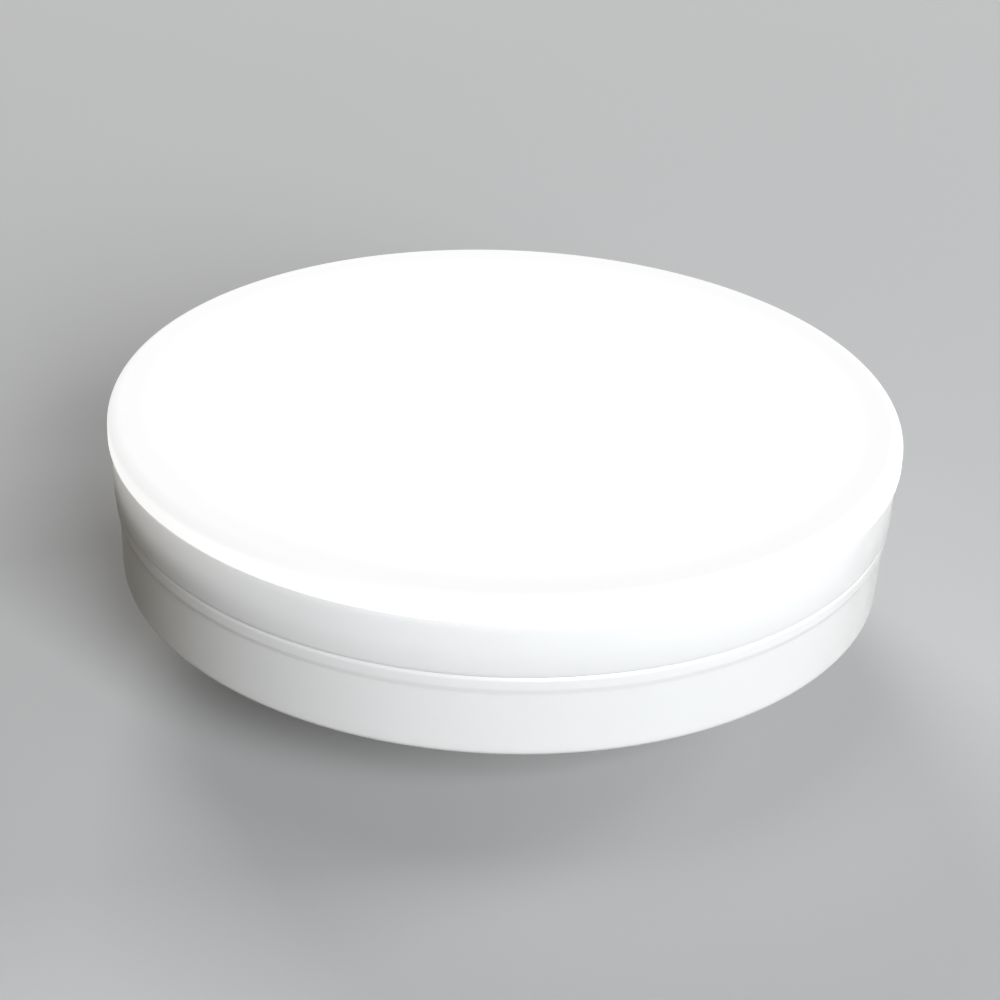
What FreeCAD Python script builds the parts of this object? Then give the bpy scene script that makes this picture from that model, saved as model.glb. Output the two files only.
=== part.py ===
import FreeCAD, Part
import math
import os
import re
import Sketcher

# A flat round LED lamp with a two-pin twist-lock cap, lying on its cap with the lit face up.
# The origin is the middle of the cap boss's end face, and the lamp's axis is Z. Millimetres.

# Driving sizes, each written once
SIZES = {
    # Opal lid
    "lid_height": 2.5,
    "lid_wall": 1.2,
    "lid_edge_radius": 1.3,
    "lid_foot_width": 0.2,
    "lid_overhang": 0.3,
    "skirt_wall": 1.1,
    "skirt_clearance": 0.15,
    "skirt_gap": 0.2,
    "skirt_slot_width": 2.4,
    "skirt_slot_height": 2.6,
    "skirt_slot_count": 6,
    "snap_reach": 0.4,
    "snap_clearance": 0.1,
    # Housing outside, from the rim down to the boss
    "edge_beyond_pins": 11.0,
    "rim_wall": 1.5,
    "band_taper": 0.15,
    "band_depth": 5.3,
    "band_edge_width": 0.12,
    "crease_depth": 0.35,
    "bead_crown": 0.35,
    "bead_reach": 0.3,
    "bead_height": 0.9,
    "bead_slope": 0.6,
    "bead_edge_radius": 0.4,
    "cove_radius": 0.6,
    "drum_inset": 0.4,
    "drum_taper": 0.15,
    "drum_edge_radius": 0.5,
    "body_depth": 13.5,
    "boss_radius": 19.0,
    "boss_depth": 10.5,
    "boss_edge_radius": 1.2,
    "boss_root_width": 0.8,
    # Housing inside
    "wall": 2.0,
    "rib_root": 0.8,
    "floor_wall": 1.8,
    "ledge_depth": 4.4,
    "snap_groove_drop": 1.8,
    "snap_groove_height": 1.3,
    "snap_groove_depth": 0.5,
    "floor_rib_width": 1.0,
    "floor_rib_height": 1.0,
    "floor_rib_count": 12,
    "floor_rib_clearance": 0.8,
    "key_width": 3.0,
    "key_reach": 1.2,
    "key_root": 0.4,
    "key_height": 0.9,
    "key_count": 3,
    "key_angle": 30.0,
    "key_clearance": 0.2,
    # Contact pins and the collars round them
    "pin_pitch": 53.0,
    "pin_length": 6.8,
    "pin_head_radius": 2.5,
    "pin_head_height": 1.7,
    "pin_head_edge": 0.4,
    "pin_neck_radius": 1.6,
    "pin_clearance": 0.05,
    "pin_flange_radius": 2.4,
    "pin_flange_height": 0.6,
    "pin_tail_radius": 0.9,
    "pin_tail_height": 1.2,
    "collar_radius": 4.2,
    "collar_height": 0.8,
    # Aluminium plate, insulating film and LED board
    "plate_thickness": 1.0,
    "plate_clearance": 0.3,
    "film_thickness": 0.3,
    "film_clearance": 0.8,
    "film_hole_clearance": 0.4,
    "led_board_clearance": 0.95,
    "led_board_thickness": 1.2,
    "wire_hole_radius": 3.0,
    "wire_hole_step": 0.4,
    # LEDs
    "led_length": 3.5,
    "led_width": 2.8,
    "led_height": 0.8,
    "led_window_length": 2.6,
    "led_window_width": 2.0,
    "led_window_depth": 0.2,
    "outer_ring_inset": 6.5,
    "outer_led_count": 12,
    "inner_ring_radius": 14.0,
    "inner_led_count": 6,
    # Screws and the housing bosses that they bite into
    "screw_wall_gap": 5.5,
    "screw_count": 3,
    "screw_angle": 90.0,
    "screw_head_radius": 2.3,
    "screw_head_height": 1.5,
    "screw_shank_radius": 1.2,
    "screw_tip_gap": 1.0,
    "screw_clearance": 0.05,
    "screw_recess_length": 2.6,
    "screw_recess_width": 0.7,
    "screw_recess_depth": 0.8,
    "screw_boss_wall": 1.35,
    "pilot_floor": 0.5,
    # Driver board, its standoffs and its clips
    "driver_board_pin_gap": 0.9,
    "driver_board_thickness": 1.2,
    "standoff_height": 0.8,
    "standoff_width": 2.4,
    "standoff_count": 4,
    "standoff_angle": 45.0,
    "standoff_margin": 0.6,
    "clip_count": 2,
    "clip_width": 4.0,
    "clip_thickness": 1.2,
    "clip_gap": 0.15,
    "clip_reach": 0.6,
    "clip_nose_height": 0.8,
    "clip_nose_land": 0.3,
    "clip_play": 0.05,
    # Parts that hang under the driver board, in the boss
    "bulk_radius": 4.0,
    "bulk_height": 10.4,
    "bulk_inset": 7.6,
    "bulk_angle": 154.8,
    "output_can_radius": 3.15,
    "output_can_height": 9.0,
    "output_can_inset": 5.6,
    "output_can_angle": 217.9,
    "can_crimp_depth": 0.3,
    "can_crimp_height": 0.9,
    "can_crimp_drop": 1.2,
    "can_edge_width": 0.4,
    "film_can_length": 10.0,
    "film_can_width": 4.0,
    "film_can_height": 8.0,
    "film_can_edge": 0.5,
    "film_can_inset": 5.35,
    "film_can_angle": 59.0,
    "varistor_radius": 3.5,
    "varistor_thickness": 3.2,
    "varistor_edge": 0.6,
    "varistor_inset": 4.35,
    "varistor_angle": 117.0,
    "fuse_radius": 1.7,
    "fuse_waist_radius": 1.4,
    "fuse_cap_height": 1.5,
    "fuse_height": 9.0,
    "fuse_inset": 6.25,
    "fuse_angle": 257.1,
    "choke_radius": 4.5,
    "choke_hub_radius": 1.8,
    "choke_flange": 1.1,
    "choke_height": 8.5,
    "choke_winding_radius": 3.9,
    "choke_play": 0.05,
    "choke_inset": 8.7,
    "choke_angle": -25.0,
    # Surface-mounted parts on top of the driver board
    "bridge_length": 4.7,
    "bridge_width": 3.8,
    "bridge_height": 1.5,
    "bridge_lead_count": 2,
    "bridge_lead_pitch": 2.5,
    "bridge_across": 12.5,
    "bridge_along": 6.5,
    "chip_length": 4.9,
    "chip_width": 3.9,
    "chip_height": 1.5,
    "chip_lead_count": 4,
    "chip_lead_pitch": 1.27,
    "chip_across": -7.0,
    "chip_along": -8.0,
    "package_lift": 0.1,
    "lead_shoulder": 0.35,
    "lead_foot": 1.0,
    "lead_thickness": 0.2,
    "lead_width": 0.45,
    "lead_rise": 0.7,
    "diode_length": 4.3,
    "diode_width": 2.6,
    "diode_height": 2.1,
    "diode_shoulder_height": 1.0,
    "diode_top_inset": 0.2,
    "diode_tab_length": 0.5,
    "diode_tab_width": 1.4,
    "diode_across": 8.5,
    "diode_along": -9.0,
    "resistor_length": 3.2,
    "resistor_width": 1.6,
    "resistor_height": 0.6,
    "resistor_cap_length": 0.5,
    "resistor_cap_step": 0.05,
    "sense_across": -13.0,
    "sense_along": -3.0,
    "start_across": -10.0,
    "start_along": 9.0,
    # Insulated leads
    "lead_wire_radius": 0.5,
    "lead_bend_radius": 1.0,
    "input_pad_inset": 3.0,
    "input_pad_along": 3.0,
    "output_lead_spread": 1.3,
    "output_lead_top": 1.9,
    "output_pad_across": 6.5,
}

# Lengths in millimetres, and a share of a volume, within which two values count as the same
SAME_LENGTH = 1e-4
SAME_SHARE = 0.01

# Levels and radii that follow from the sizes
DERIVED = {
    "back_level": "boss_depth",
    "rim_level": "back_level + body_depth",
    "top_level": "rim_level + lid_height",
    "pin_radius_from_axis": "pin_pitch / 2",
    "disc_radius": "pin_radius_from_axis + edge_beyond_pins",
    "rim_radius": "disc_radius - lid_overhang",
    "band_foot_radius": "rim_radius - band_taper",
    "drum_radius": "band_foot_radius - drum_inset",
    "drum_foot_radius": "drum_radius - drum_taper",
    "bead_radius": "drum_radius + bead_reach",
    "crease_level": "rim_level - band_depth",
    "bead_top_level": "crease_level - bead_crown",
    "bead_foot_level": "bead_top_level - bead_height",
    "crease_radius": "band_foot_radius - crease_depth",
    "mouth_radius": "rim_radius - rim_wall",
    "bore_radius": "drum_foot_radius - wall",
    "boss_bore_radius": "boss_radius - wall",
    "floor_level": "back_level + floor_wall",
    "boss_floor_level": "floor_wall",
    "ledge_level": "rim_level - ledge_depth",
    "groove_top_level": "rim_level - snap_groove_drop",
    "groove_foot_level": "groove_top_level - snap_groove_height",
    "groove_radius": "mouth_radius + snap_groove_depth",
    "plate_top_level": "ledge_level + plate_thickness",
    "plate_radius": "mouth_radius - plate_clearance",
    "film_foot_level": "ledge_level - film_thickness",
    "led_board_top_level": "plate_top_level + led_board_thickness",
    "led_board_radius": "skirt_radius - skirt_wall - led_board_clearance",
    "outer_ring_radius": "led_board_radius - outer_ring_inset",
    "skirt_radius": "mouth_radius - skirt_clearance",
    "skirt_foot_level": "plate_top_level + skirt_gap",
    "snap_top_level": "groove_top_level - snap_clearance",
    "driver_board_radius": "pin_radius_from_axis - pin_flange_radius - driver_board_pin_gap",
    "driver_foot_level": "floor_level + standoff_height",
    "driver_top_level": "driver_foot_level + driver_board_thickness",
    "screw_circle_radius": "bore_radius - screw_wall_gap",
    "screw_hole_radius": "screw_shank_radius + screw_clearance",
    "screw_boss_radius": "screw_hole_radius + screw_boss_wall",
    "pilot_depth": "ledge_level - floor_level - pilot_floor",
    "screw_length": "led_board_top_level - ledge_level + pilot_depth - screw_tip_gap",
    "pin_hole_radius": "pin_neck_radius + pin_clearance",
    "pin_tail_level": "floor_level + pin_flange_height + pin_tail_height",
    "input_pad_across": "driver_board_radius - input_pad_inset",
    "input_lead_level": "(pin_tail_level + film_foot_level) / 2",
}

doc = FreeCAD.newDocument("LedDiscLamp")
sheet = doc.addObject("Spreadsheet::Sheet", "Sizes")
pieces = []


def fill_sheet():
    """Write every driving size into the sheet under its own name."""
    for row, (name, size) in enumerate(SIZES.items(), start=1):
        sheet.set(f"A{row}", name)
        sheet.set(f"B{row}", str(size))
        sheet.setAlias(f"B{row}", name)
    doc.recompute()


def formula(text):
    """Turn a rule in plain size names into one that reads the sheet."""
    def spell(word):
        name = word.group(0)
        if name in DERIVED:
            return f"({formula(DERIVED[name])})"
        if name in SIZES:
            return f"Sizes.{name}"
        return name
    return re.sub(r"[a-z_]+", spell, text)


def size(text):
    """The number that a rule gives with the sheet's present sizes."""
    return float(sheet.evalExpression(formula(text)))


def count(name):
    return int(round(size(name)))


def new_body(label, place=("0", "0", "0"), angle=0.0):
    """A body of its own for one piece, placed by rules."""
    body = doc.addObject("PartDesign::Body", label)
    body.Label = label
    spot = FreeCAD.Vector(*[size(rule) for rule in place])
    body.Placement = FreeCAD.Placement(spot, FreeCAD.Rotation(FreeCAD.Vector(0, 0, 1), angle))
    for axis, rule in zip("xyz", place):
        body.setExpression(f"Placement.Base.{axis}", formula(rule))
    pieces.append(body)
    return body


def origin_feature(body, role):
    return next(feature for feature in body.Origin.OriginFeatures if feature.Role == role)


def new_sketch(body, name, role, lift="0"):
    """A sketch on one of the body's own planes, lifted along that plane's normal."""
    sketch = body.newObject("Sketcher::SketchObject", name)
    sketch.AttachmentSupport = (origin_feature(body, role), "")
    sketch.MapMode = "FlatFace"
    sketch.setExpression("AttachmentOffset.Base.z", formula(lift))
    return sketch


def bind(sketch, constraint, rule):
    """Add a constraint whose value follows a rule."""
    index = sketch.addConstraint(constraint)
    name = f"{constraint.Type}_{index}"
    sketch.renameConstraint(index, name)
    sketch.setExpression(f"Constraints.{name}", formula(rule))


def bind_point(sketch, geometry, point, across, up):
    bind(sketch, Sketcher.Constraint("DistanceX", -1, 1, geometry, point, size(across)), across)
    bind(sketch, Sketcher.Constraint("DistanceY", -1, 1, geometry, point, size(up)), up)


def draw_polygon(sketch, corners):
    """A closed outline whose corners follow rules."""
    first = sketch.GeometryCount
    total = len(corners)
    spots = [FreeCAD.Vector(size(across), size(up), 0) for across, up in corners]
    for index in range(total):
        sketch.addGeometry(Part.LineSegment(spots[index], spots[(index + 1) % total]))
    for index in range(total):
        follower = first + (index + 1) % total
        sketch.addConstraint(Sketcher.Constraint("Coincident", first + index, 2, follower, 1))
    for index, (across, up) in enumerate(corners):
        bind_point(sketch, first + index, 1, across, up)


def draw_circle(sketch, across, up, radius):
    centre = FreeCAD.Vector(size(across), size(up), 0)
    index = sketch.addGeometry(Part.Circle(centre, FreeCAD.Vector(0, 0, 1), size(radius)))
    bind_point(sketch, index, 3, across, up)
    bind(sketch, Sketcher.Constraint("Radius", index, size(radius)), radius)


def rectangle(across, up, width, depth):
    """The corner rules of a rectangle about a centre."""
    return [
        (f"{across} - ({width}) / 2", f"{up} - ({depth}) / 2"),
        (f"{across} + ({width}) / 2", f"{up} - ({depth}) / 2"),
        (f"{across} + ({width}) / 2", f"{up} + ({depth}) / 2"),
        (f"{across} - ({width}) / 2", f"{up} + ({depth}) / 2"),
    ]


def radial_bar(inner, outer, width, angle):
    """The corner rules of a bar that points away from the axis at an angle."""
    half = f"({width}) / 2"
    corners = [(inner, f"-{half}"), (outer, f"-{half}"), (outer, half), (inner, half)]
    return [
        (
            f"({along}) * cos({angle}) - ({aside}) * sin({angle})",
            f"({along}) * sin({angle}) + ({aside}) * cos({angle})",
        )
        for along, aside in corners
    ]


def revolve(body, sketch, name):
    feature = body.newObject("PartDesign::Revolution", name)
    feature.Profile = sketch
    feature.ReferenceAxis = (sketch, ["V_Axis"])
    feature.Angle = 360
    return feature


def pad(body, sketch, name, length, midplane=False, downward=False):
    feature = body.newObject("PartDesign::Pad", name)
    feature.Profile = sketch
    feature.setExpression("Length", formula(length))
    feature.Midplane = midplane
    feature.Reversed = downward
    return feature


def pocket(body, sketch, name, depth, upward=False, midplane=False):
    """Cut down from the sketch, or up, and make sure that something was cut."""
    doc.recompute()
    before = body.Shape.Volume
    feature = body.newObject("PartDesign::Pocket", name)
    feature.Profile = sketch
    feature.setExpression("Length", formula(depth))
    feature.Reversed = upward
    feature.Midplane = midplane
    doc.recompute()
    if not body.Shape.Volume < before:
        raise RuntimeError(f"{body.Label}: {name} cuts nothing")
    return feature


def polar_pattern(body, features, name, copies):
    """Repeat features round the lamp's axis."""
    pattern = body.newObject("PartDesign::PolarPattern", name)
    pattern.Originals = features
    pattern.Axis = (origin_feature(body, "Z_Axis"), [""])
    pattern.Angle = 360
    pattern.setExpression("Occurrences", formula(copies))
    body.Tip = pattern
    return pattern


def linear_pattern(body, features, name, role, length, copies):
    pattern = body.newObject("PartDesign::LinearPattern", name)
    pattern.Originals = features
    pattern.Direction = (origin_feature(body, role), [""])
    pattern.setExpression("Length", formula(length))
    pattern.setExpression("Occurrences", formula(copies))
    body.Tip = pattern
    return pattern


def ring_edges(body, base, name, rings):
    """The circular edges of a turned piece that lie at the given radii and levels."""
    doc.recompute()
    wanted = [(size(ring), size(level)) for ring, level in rings]
    names = []
    for index, edge in enumerate(base.Shape.Edges, start=1):
        if not isinstance(edge.Curve, Part.Circle):
            continue
        ring, level = edge.Curve.Radius, edge.Curve.Center.z
        gaps = [max(abs(ring - r), abs(level - z)) for r, z in wanted]
        if min(gaps) < SAME_LENGTH:
            names.append(f"Edge{index}")
    if len(names) < len(rings):
        raise RuntimeError(f"{body.Label}: {name} finds {len(names)} of {len(rings)} edges")
    return (base, names)


def round_rings(body, base, name, radius, rings):
    feature = body.newObject("PartDesign::Fillet", name)
    feature.Base = ring_edges(body, base, name, rings)
    feature.setExpression("Radius", formula(radius))
    return feature


def bevel_rings(body, base, name, width, rings):
    feature = body.newObject("PartDesign::Chamfer", name)
    feature.Base = ring_edges(body, base, name, rings)
    feature.setExpression("Size", formula(width))
    return feature


def round_along(body, base, name, radius, direction):
    """Round the straight edges that run in one direction."""
    doc.recompute()
    names = []
    for index, edge in enumerate(base.Shape.Edges, start=1):
        if not isinstance(edge.Curve, Part.Line):
            continue
        if edge.tangentAt(edge.FirstParameter).cross(direction).Length < SAME_LENGTH:
            names.append(f"Edge{index}")
    feature = body.newObject("PartDesign::Fillet", name)
    feature.Base = (base, names)
    feature.setExpression("Radius", formula(radius))
    return feature


# Outer shells


def make_housing():
    """The moulded case: drum with its bead and band, back wall, boss, and what it carries inside."""
    body = new_body("housing")
    sketch = new_sketch(body, "HousingProfile", "XZ_Plane")
    draw_polygon(sketch, [
        ("0", "0"),
        ("boss_radius", "0"),
        ("boss_radius", "back_level"),
        ("drum_foot_radius", "back_level"),
        ("drum_radius", "bead_foot_level - bead_slope"),
        ("bead_radius", "bead_foot_level"),
        ("bead_radius", "bead_top_level"),
        ("crease_radius", "crease_level"),
        ("band_foot_radius", "crease_level"),
        ("rim_radius", "rim_level"),
        ("mouth_radius", "rim_level"),
        ("mouth_radius", "groove_top_level"),
        ("groove_radius", "groove_top_level"),
        ("groove_radius", "groove_foot_level"),
        ("mouth_radius", "groove_foot_level"),
        ("mouth_radius", "ledge_level"),
        ("bore_radius", "ledge_level"),
        ("bore_radius", "floor_level"),
        ("boss_bore_radius", "floor_level"),
        ("boss_bore_radius", "boss_floor_level"),
        ("0", "boss_floor_level"),
    ])
    shell = revolve(body, sketch, "HousingShell")
    shell = round_rings(body, shell, "BossEdge", "boss_edge_radius", [("boss_radius", "0")])
    shell = bevel_rings(body, shell, "BossRoot", "boss_root_width", [("boss_radius", "back_level")])
    shell = round_rings(
        body, shell, "DrumEdge", "drum_edge_radius", [("drum_foot_radius", "back_level")])
    shell = round_rings(
        body, shell, "DrumCove", "cove_radius", [("drum_radius", "bead_foot_level - bead_slope")])
    shell = round_rings(body, shell, "BeadRound", "bead_edge_radius", [
        ("bead_radius", "bead_foot_level"), ("bead_radius", "bead_top_level")])
    bevel_rings(body, shell, "BandEdge", "band_edge_width", [("band_foot_radius", "crease_level")])
    add_pin_seats(body)
    add_screw_bosses(body)
    add_floor_ribs(body)
    add_driver_seats(body)
    add_plate_keys(body)
    return body


def add_pin_seats(body):
    """A collar on the back wall round each contact pin, and the hole through both."""
    seats = new_sketch(body, "CollarOutline", "XY_Plane", "back_level")
    for side in ("-", ""):
        draw_circle(seats, f"{side}pin_radius_from_axis", "0", "collar_radius")
    pad(body, seats, "PinCollars", "collar_height", downward=True)
    holes = new_sketch(body, "PinHoleOutline", "XY_Plane", "floor_level")
    for side in ("-", ""):
        draw_circle(holes, f"{side}pin_radius_from_axis", "0", "pin_hole_radius")
    pocket(body, holes, "PinHoles", "floor_wall + collar_height")


def add_screw_bosses(body):
    """Round bosses from the back wall up to the plate, each with a blind pilot hole."""
    across = "screw_circle_radius * cos(screw_angle)"
    along = "screw_circle_radius * sin(screw_angle)"
    outline = new_sketch(body, "ScrewBossOutline", "XY_Plane", "floor_level")
    draw_circle(outline, across, along, "screw_boss_radius")
    boss = pad(body, outline, "ScrewBoss", "ledge_level - floor_level")
    polar_pattern(body, [boss], "ScrewBosses", "screw_count")
    hole_outline = new_sketch(body, "PilotOutline", "XY_Plane", "ledge_level")
    draw_circle(hole_outline, across, along, "screw_hole_radius")
    hole = pocket(body, hole_outline, "Pilot", "pilot_depth")
    polar_pattern(body, [hole], "Pilots", "screw_count")


def add_floor_ribs(body):
    """Low ribs that stiffen the back wall between the driver board and the drum."""
    outline = new_sketch(body, "RibOutline", "XY_Plane", "floor_level")
    half_step = "180 / floor_rib_count"
    start = "driver_board_radius + floor_rib_clearance"
    draw_polygon(outline, radial_bar(start, "bore_radius + rib_root", "floor_rib_width", half_step))
    rib = pad(body, outline, "Rib", "floor_rib_height")
    polar_pattern(body, [rib], "Ribs", "floor_rib_count")


def add_driver_seats(body):
    """Standoffs under the driver board and two hooked clips that hold its edge down."""
    outline = new_sketch(body, "StandoffOutline", "XY_Plane", "floor_level")
    bar = radial_bar(
        "boss_bore_radius + standoff_margin", "driver_board_radius - standoff_margin",
        "standoff_width", "standoff_angle")
    draw_polygon(outline, bar)
    block = pad(body, outline, "Standoff", "standoff_height")
    polar_pattern(body, [block], "Standoffs", "standoff_count")
    hook_outline = new_sketch(body, "ClipProfile", "YZ_Plane")
    inner = "driver_board_radius + clip_gap"
    outer = "driver_board_radius + clip_gap + clip_thickness"
    nose = "driver_board_radius - clip_reach"
    nose_level = "driver_top_level + clip_play"
    draw_polygon(hook_outline, [
        (inner, "floor_level"),
        (outer, "floor_level"),
        (outer, f"{nose_level} + clip_nose_height"),
        (inner, f"{nose_level} + clip_nose_height"),
        (nose, f"{nose_level} + clip_nose_land"),
        (nose, nose_level),
        (inner, nose_level),
    ])
    hook = pad(body, hook_outline, "Clip", "clip_width", midplane=True)
    polar_pattern(body, [hook], "Clips", "clip_count")


def add_plate_keys(body):
    """Blocks on the ledge that stop the plate from turning."""
    outline = new_sketch(body, "KeyOutline", "XY_Plane", "ledge_level")
    bar = radial_bar(
        "mouth_radius - key_reach", "mouth_radius + key_root", "key_width", "key_angle")
    draw_polygon(outline, bar)
    block = pad(body, outline, "Key", "key_height")
    polar_pattern(body, [block], "Keys", "key_count")


def make_diffuser():
    """The opal lid: flat face, rounded edge, and a slotted skirt with a catch bead."""
    body = new_body("diffuser")
    sketch = new_sketch(body, "LidProfile", "XZ_Plane")
    draw_polygon(sketch, [
        ("0", "top_level"),
        ("disc_radius", "top_level"),
        ("disc_radius", "rim_level"),
        ("skirt_radius", "rim_level"),
        ("skirt_radius", "snap_top_level"),
        ("skirt_radius + snap_reach", "snap_top_level"),
        ("skirt_radius", "skirt_foot_level"),
        ("skirt_radius - skirt_wall", "skirt_foot_level"),
        ("skirt_radius - skirt_wall", "top_level - lid_wall"),
        ("0", "top_level - lid_wall"),
    ])
    lid = revolve(body, sketch, "Lid")
    lid = round_rings(body, lid, "FaceEdge", "lid_edge_radius", [("disc_radius", "top_level")])
    bevel_rings(body, lid, "FootEdge", "lid_foot_width", [("disc_radius", "rim_level")])
    outline = new_sketch(body, "SlotOutline", "XY_Plane", "skirt_foot_level")
    bar = radial_bar(
        "skirt_radius - 2 * skirt_wall", "skirt_radius + 2 * snap_reach",
        "skirt_slot_width", "180 / skirt_slot_count")
    draw_polygon(outline, bar)
    slot = pocket(body, outline, "SkirtSlot", "skirt_slot_height", upward=True)
    polar_pattern(body, [slot], "SkirtSlots", "skirt_slot_count")
    return body


def make_contact_pin(label, side):
    """A turned contact: head and neck outside, rivet flange and solder tail inside."""
    body = new_body(label, (f"{side}pin_radius_from_axis", "0", "0"))
    sketch = new_sketch(body, "PinProfile", "XZ_Plane")
    end = "back_level - pin_length"
    draw_polygon(sketch, [
        ("0", end),
        ("pin_head_radius", end),
        ("pin_head_radius", f"{end} + pin_head_height"),
        ("pin_neck_radius", f"{end} + pin_head_height"),
        ("pin_neck_radius", "floor_level"),
        ("pin_flange_radius", "floor_level"),
        ("pin_flange_radius", "floor_level + pin_flange_height"),
        ("pin_tail_radius", "floor_level + pin_flange_height"),
        ("pin_tail_radius", "pin_tail_level"),
        ("0", "pin_tail_level"),
    ])
    turned = revolve(body, sketch, "Turned")
    bevel_rings(body, turned, "HeadEdge", "pin_head_edge", [
        ("pin_head_radius", end), ("pin_head_radius", f"{end} + pin_head_height")])
    return body


# The lit stack under the lid


def make_heat_plate():
    """A round aluminium plate on the housing's ledge, notched for the keys."""
    body = new_body("heat_plate", ("0", "0", "ledge_level"))
    outline = new_sketch(body, "PlateOutline", "XY_Plane")
    draw_circle(outline, "0", "0", "plate_radius")
    draw_circle(outline, "0", "0", "wire_hole_radius + wire_hole_step")
    pad(body, outline, "Plate", "plate_thickness")
    notch_outline = new_sketch(body, "NotchOutline", "XY_Plane", "plate_thickness")
    bar = radial_bar(
        "mouth_radius - key_reach - key_clearance", "mouth_radius + rim_wall",
        "key_width + 2 * key_clearance", "key_angle")
    draw_polygon(notch_outline, bar)
    notch = pocket(body, notch_outline, "Notch", "plate_thickness")
    polar_pattern(body, [notch], "Notches", "key_count")
    cut_screw_holes(body, "plate_thickness", "screw_hole_radius")
    return body


def cut_screw_holes(body, thickness, radius):
    """The screws' holes through a flat piece that stands at its body's own origin level."""
    outline = new_sketch(body, "ScrewHoleOutline", "XY_Plane", thickness)
    draw_circle(
        outline, "screw_circle_radius * cos(screw_angle)", "screw_circle_radius * sin(screw_angle)",
        radius)
    hole = pocket(body, outline, "ScrewHole", thickness)
    polar_pattern(body, [hole], "ScrewHoles", "screw_count")


def make_insulating_sheet():
    """Film under the plate, cut out round the screw bosses and the wires."""
    body = new_body("insulating_sheet", ("0", "0", "film_foot_level"))
    outline = new_sketch(body, "SheetOutline", "XY_Plane")
    draw_circle(outline, "0", "0", "bore_radius - film_clearance")
    draw_circle(outline, "0", "0", "wire_hole_radius")
    pad(body, outline, "Sheet", "film_thickness")
    cut_screw_holes(body, "film_thickness", "screw_boss_radius + film_hole_clearance")
    return body


def make_led_board():
    """The round aluminium-core board that carries the LEDs."""
    body = new_body("led_board", ("0", "0", "plate_top_level"))
    outline = new_sketch(body, "BoardOutline", "XY_Plane")
    draw_circle(outline, "0", "0", "led_board_radius")
    draw_circle(outline, "0", "0", "wire_hole_radius")
    pad(body, outline, "Board", "led_board_thickness")
    cut_screw_holes(body, "led_board_thickness", "screw_hole_radius")
    return body


def make_led(label, ring, angle):
    """One LED package with its phosphor window, long side along the ring."""
    place = (f"{ring} * cos({angle})", f"{ring} * sin({angle})", "led_board_top_level")
    body = new_body(label, place, angle)
    outline = new_sketch(body, "PackageOutline", "XY_Plane")
    draw_polygon(outline, rectangle("0", "0", "led_width", "led_length"))
    pad(body, outline, "Package", "led_height")
    window = new_sketch(body, "WindowOutline", "XY_Plane", "led_height")
    draw_polygon(window, rectangle("0", "0", "led_window_width", "led_window_length"))
    pocket(body, window, "Window", "led_window_depth")
    return body


def make_led_ring(stem, ring, copies):
    total = count(copies)
    for index in range(total):
        make_led(f"{stem}_{index + 1:02d}", ring, 360 / total * (index + 0.5))


def make_board_screws():
    """The self-tapping screws through board and plate into the housing's bosses."""
    body = new_body("board_screws", ("0", "0", "led_board_top_level"))
    across = "screw_circle_radius * cos(screw_angle)"
    along = "screw_circle_radius * sin(screw_angle)"
    head_outline = new_sketch(body, "HeadOutline", "XY_Plane")
    draw_circle(head_outline, across, along, "screw_head_radius")
    head = pad(body, head_outline, "Head", "screw_head_height")
    shank_outline = new_sketch(body, "ShankOutline", "XY_Plane")
    draw_circle(shank_outline, across, along, "screw_shank_radius")
    shank = pad(body, shank_outline, "Shank", "screw_length", downward=True)
    slots = []
    for name, width, depth in (
            ("SlotAcross", "screw_recess_length", "screw_recess_width"),
            ("SlotAlong", "screw_recess_width", "screw_recess_length")):
        outline = new_sketch(body, f"{name}Outline", "XY_Plane", "screw_head_height")
        draw_polygon(outline, rectangle(across, along, width, depth))
        slots.append(pocket(body, outline, name, "screw_recess_depth"))
    polar_pattern(body, [head, shank] + slots, "Screws", "screw_count")
    return body


# The driver


def make_driver_board():
    """The round circuit board over the boss, resting on the standoffs."""
    body = new_body("driver_board", ("0", "0", "driver_foot_level"))
    outline = new_sketch(body, "BoardOutline", "XY_Plane")
    draw_circle(outline, "0", "0", "driver_board_radius")
    pad(body, outline, "Board", "driver_board_thickness")
    return body


def hanging_place(stem, level="driver_foot_level"):
    """Where a part hangs in the boss: its own angle, and its own distance from the boss wall."""
    reach = f"(boss_bore_radius - {stem}_inset)"
    return (f"{reach} * cos({stem}_angle)", f"{reach} * sin({stem}_angle)", level)


def make_can(label, stem):
    """An electrolytic capacitor that hangs from the board, with its crimped groove."""
    body = new_body(label, hanging_place(stem))
    radius, height = f"{stem}_radius", f"{stem}_height"
    sketch = new_sketch(body, "CanProfile", "XZ_Plane")
    draw_polygon(sketch, [
        ("0", "0"),
        (radius, "0"),
        (radius, "-can_crimp_drop"),
        (f"{radius} - can_crimp_depth", "-can_crimp_drop - can_crimp_height / 2"),
        (radius, "-can_crimp_drop - can_crimp_height"),
        (radius, f"-{height}"),
        ("0", f"-{height}"),
    ])
    can = revolve(body, sketch, "Can")
    bevel_rings(body, can, "CanEdge", "can_edge_width", [(radius, f"-{height}")])
    return body


def make_film_capacitor():
    """A boxed film capacitor under the board."""
    body = new_body("film_capacitor", hanging_place("film_can"))
    outline = new_sketch(body, "BoxOutline", "XY_Plane")
    draw_polygon(outline, rectangle("0", "0", "film_can_length", "film_can_width"))
    box = pad(body, outline, "Box", "film_can_height", downward=True)
    round_along(body, box, "BoxEdges", "film_can_edge", FreeCAD.Vector(0, 0, 1))
    return body


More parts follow.
